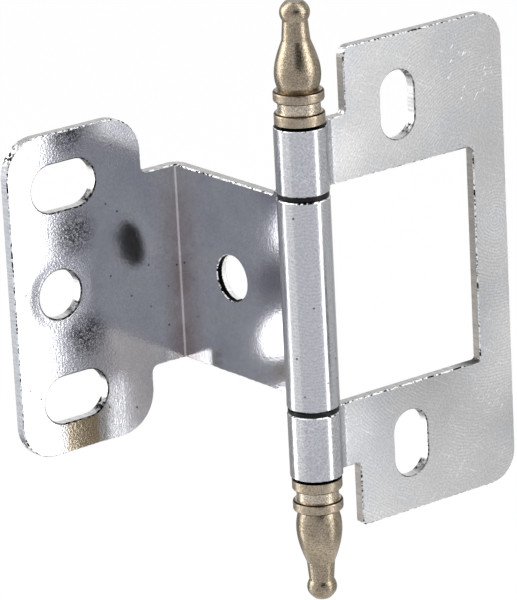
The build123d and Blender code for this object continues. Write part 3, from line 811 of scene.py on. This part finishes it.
giveMaterial("frame_leaf", makeFrameSteel(frameFinish, edgeFinish))
giveMaterial("door_leaf", makeDoorSteel(doorFinish, edgeFinish))
finialNickel = makeFinialNickel(finialFinish)
giveMaterial("upper_finial", finialNickel)
giveMaterial("lower_finial", finialNickel)
blackNylon = makeBlackNylon(washerFinish)
giveMaterial("upper_washer", blackNylon)
giveMaterial("lower_washer", blackNylon)
giveMaterial("hinge_pin", makeDrawnWire(pinFinish))
print("finishes given")

# Camera at the photograph's angle
camera = {
    "position": (-359.85, -438.46, 180.08),  # mm
    "azimuth": -37.479,
    "elevation": 17.830,
    "roll": -2.958,
    "lens": 280.2,
    "sensor": 36.0,
    "clipStart": 0.05,
}


def makeCamera(size):
    data = bpy.data.cameras.new("camera")
    data.sensor_width = size["sensor"]
    data.lens = size["lens"]
    data.clip_start = size["clipStart"]
    eye = bpy.data.objects.new("camera", data)
    bpy.context.scene.collection.objects.link(eye)
    eye.matrix_world = (
        Matrix.Translation(Vector(size["position"]) * mm)
        @ Matrix.Rotation(math.radians(size["azimuth"]), 4, "Z")
        @ Matrix.Rotation(math.radians(90 - size["elevation"]), 4, "X")
        @ Matrix.Rotation(math.radians(size["roll"]), 4, "Z")
    )
    bpy.context.scene.camera = eye


makeCamera(camera)

# The studio: soft boxes and cards round the part that only its reflections see. Turns are in
# degrees from the camera, to the photograph's right; a glow of 1 is white. A card that gives no
# tilt, tint or nearness of its own takes the studio's.
studio = {
    "radius": 0.36,
    "plainCard": {"tilt": (-55, 80), "tint": "#FFFFFF", "nearer": 1.0},
    "steps": 24,  # flat strips in a card's curve
    "cards": {
        "front": {"turn": (-50, 61), "glow": 0.8, "tint": "#F9FAFF"},
        "frontLeft": {"turn": (-90, -50), "glow": 1.0},
        "leftBox": {"turn": (-106, -90), "glow": 3.5},
        "backLeft": {"turn": (-168, -106), "tilt": (-55, 10), "glow": 0.4},
        "rightBox": {"turn": (61, 70.8), "glow": 4.2},
        "sideRight": {"turn": (70.8, 118), "glow": 0.62},
        "backRight": {"turn": (118, 168), "tilt": (-55, 10), "glow": 0.6},
        "backBox": {"turn": (174, 190), "tilt": (-40, -5), "glow": 1.8, "tint": "#FFF3EE"},
        "leftUpper": {"turn": (-116, -82), "tilt": (2, 70), "glow": 4.2, "nearer": 0.95},
        "rightUpper": {"turn": (51, 80), "tilt": (2, 70), "glow": 4.2, "nearer": 0.95},
        "backTop": {"turn": (118, 242), "tilt": (32, 84), "glow": 0.4},
        "lensGap": {"turn": (-13, 33), "tilt": (9, 40), "glow": 0.0, "nearer": 0.9},
    },
    # Flags on the line that the back plate reflects through the flange's hole, in mm
    "flagLine": (flangeFace, 15.4, 0.0),
    "flags": {
        "holeFlag": {"reach": 100, "up": 0.0, "size": 20, "glow": 0.0},
        "plateFlag": {"reach": 300, "up": 31.0, "size": 34, "glow": 0.95},
    },
    # What is seen straight, in a mirror or through glass is white; the rest of the light is plain
    "floor": {"height": -0.26, "reach": 3.0, "colour": "#F6F6F6", "glow": 1.05, "share": 0.9},
    "sky": (0.6, 1.0),  # for the light that falls on the part, and as it is seen
}


def startGlow(holder):  # an empty tree for a material or a world
    holder.use_nodes = True
    holder.node_tree.nodes.clear()
    return holder.node_tree


def addSeen(tree):  # 1 for what is seen straight, in a mirror or through glass
    path = addNode(tree, "LightPath")
    seen = path["Is Camera Ray"]
    for ray in ("Is Glossy Ray", "Is Transmission Ray"):
        seen = addNode(tree, "Math", {0: seen, 1: path[ray]}, operation="MAXIMUM")[0]
    return seen


def makePiece(name, mesh, coat):  # a linked object from a bmesh, and the tree of its new material
    data = bpy.data.meshes.new(name)
    mesh.to_mesh(data)
    mesh.free()
    piece = bpy.data.objects.new(name, data)
    bpy.context.scene.collection.objects.link(piece)
    material = bpy.data.materials.new(coat)
    data.materials.append(material)
    return piece, startGlow(material)


def stageGlow(name, mesh, tint, glow):  # a bmesh as a glowing card that only reflections see
    piece, tree = makePiece(name, mesh, name)
    light = addNode(tree, "Emission", {"Color": toLinear(tint), "Strength": glow})[0]
    addNode(tree, "OutputMaterial", {"Surface": light})
    piece.visible_camera = False
    piece.visible_diffuse = False
    piece.visible_shadow = False


def makeCard(name, card, size):
    card = {**size["plainCard"], **card}
    radius = size["radius"] * card["nearer"]
    start, end = [math.radians(camera["azimuth"] - 90 + turn) for turn in card["turn"]]
    mesh = bmesh.new()
    foot = Vector((radius * math.cos(start), radius * math.sin(start), 0))
    rises = [radius * math.tan(math.radians(tilt)) for tilt in card["tilt"]]
    edge = mesh.edges.new([mesh.verts.new(foot + Vector((0, 0, rise))) for rise in rises])
    bmesh.ops.spin(
        mesh, geom=list(edge.verts) + [edge], cent=(0, 0, 0), axis=(0, 0, 1),
        angle=end - start, steps=size["steps"],
    )
    stageGlow(name, mesh, card["tint"], card["glow"])


def makeFlag(name, flag, size):  # the line runs from the camera's image in the back plate
    across, back, up = camera["position"]
    line = Vector(size["flagLine"]) - Vector((across, 2 * plateFace - back, up))
    line.normalize()
    side = line.cross(Vector((0, 0, 1))).normalized()
    rise = side.cross(line)
    middle = Vector(size["flagLine"]) + line * flag["reach"] + rise * flag["up"]
    mesh = bmesh.new()
    bmesh.ops.create_grid(mesh, x_segments=1, y_segments=1, size=flag["size"] / 2)
    turn = Matrix((side, rise, -line)).transposed().to_4x4()
    bmesh.ops.transform(
        mesh, verts=mesh.verts, matrix=Matrix.Scale(mm, 4) @ Matrix.Translation(middle) @ turn,
    )
    stageGlow(name, mesh, size["plainCard"]["tint"], flag["glow"])


def makeFloor(floor):
    mesh = bmesh.new()
    bmesh.ops.create_grid(mesh, x_segments=1, y_segments=1, size=floor["reach"])
    bmesh.ops.translate(mesh, verts=mesh.verts, vec=(0, 0, floor["height"]))
    piece, tree = makePiece("floor", mesh, "paleFloor")
    amount = addNode(tree, "Math", {0: addSeen(tree), 1: floor["share"]}, operation="MULTIPLY")[0]
    lit = addNode(tree, "BsdfDiffuse", {"Color": toLinear(floor["colour"])})[0]
    white = addNode(tree, "Emission", {"Strength": floor["glow"]})[0]
    both = addNode(tree, "MixShader", {0: amount, 1: lit, 2: white})[0]
    addNode(tree, "OutputMaterial", {"Surface": both})


def makeWorld(sky):
    world = bpy.data.worlds.new("world")
    bpy.context.scene.world = world
    tree = startGlow(world)
    strength = addNode(tree, "MapRange", {"Value": addSeen(tree), **span("To", sky)})[0]
    light = addNode(tree, "Background", {"Strength": strength})[0]
    addNode(tree, "OutputWorld", {"Surface": light})


# Soft lamps, turned and tilted as the cards are
lamps = {
    "leftLamp": {"turn": -70, "tilt": 35, "distance": 0.6, "size": 0.35, "power": 2.2},
    "rightLamp": {"turn": 65, "tilt": 40, "distance": 0.6, "size": 0.35, "power": 1.8},
}


def makeLamp(name, lamp):
    data = bpy.data.lights.new(name, "AREA")
    data.energy = lamp["power"]
    data.size = lamp["size"]
    turn = math.radians(camera["azimuth"] - 90 + lamp["turn"])
    tilt = math.radians(lamp["tilt"])
    spot = Vector((math.cos(turn) * math.cos(tilt), math.sin(turn) * math.cos(tilt), math.sin(tilt)))
    piece = bpy.data.objects.new(name, data)
    bpy.context.scene.collection.objects.link(piece)
    piece.location = spot * lamp["distance"]
    piece.rotation_euler = spot.to_track_quat("Z", "Y").to_euler()
    piece.visible_camera = False
    piece.visible_glossy = False


for name, card in studio["cards"].items():
    makeCard(name, card, studio)
for name, flag in studio["flags"].items():
    makeFlag(name, flag, studio)
makeFloor(studio["floor"])
makeWorld(studio["sky"])
for name, lamp in lamps.items():
    makeLamp(name, lamp)
bpy.context.scene.view_settings.view_transform = "Standard"
print("studio ready")
